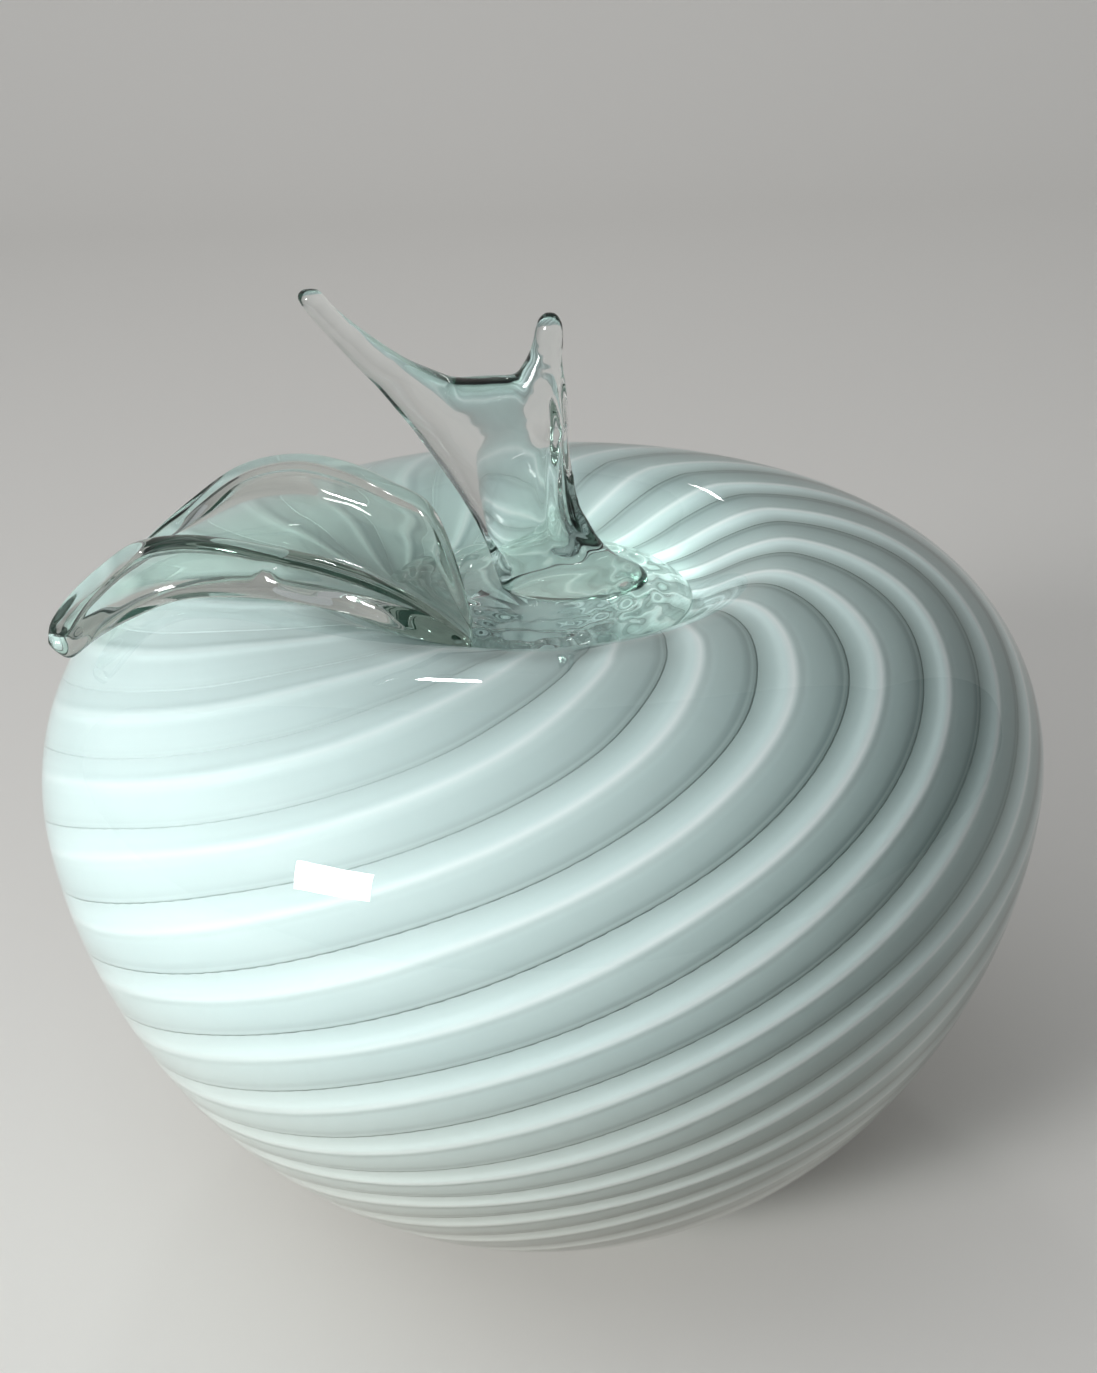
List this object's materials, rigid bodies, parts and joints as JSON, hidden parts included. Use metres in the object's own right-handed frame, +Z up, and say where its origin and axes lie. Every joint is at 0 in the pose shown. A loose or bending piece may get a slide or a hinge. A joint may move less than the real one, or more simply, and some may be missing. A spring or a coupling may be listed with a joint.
{
  "type": "art glass apple",
  "caption": "Hollow blown glass apple with a flat ground base, twisted opal bands under clear glass, a two-horned clear stem and a clear leaf; a decorative ornament or paperweight.",
  "frame": {"origin": "middle of the flat ground base, on the surface that the apple stands on", "axes": "+Z up along the body's axis through the dimple, -X towards the leaf and the long horn, -Y towards the viewer of the picture"},
  "size_m": [0.15, 0.15, 0.1423],
  "materials": {
    "clear_glass": "polished",
    "opal_glass": "glossy",
    "milky_glass": "glossy",
    "stem_glass": "polished"
  },
  "bodies": {
    "root": {"clear_outer_casing": "clear_glass", "opal_swirl_bands": "opal_glass", "milky_underlay": "milky_glass", "clear_inner_bubble": "clear_glass", "dimple_seal": "stem_glass", "clear_stem": "stem_glass", "clear_leaf": "stem_glass"}
  },
  "joints": []
}
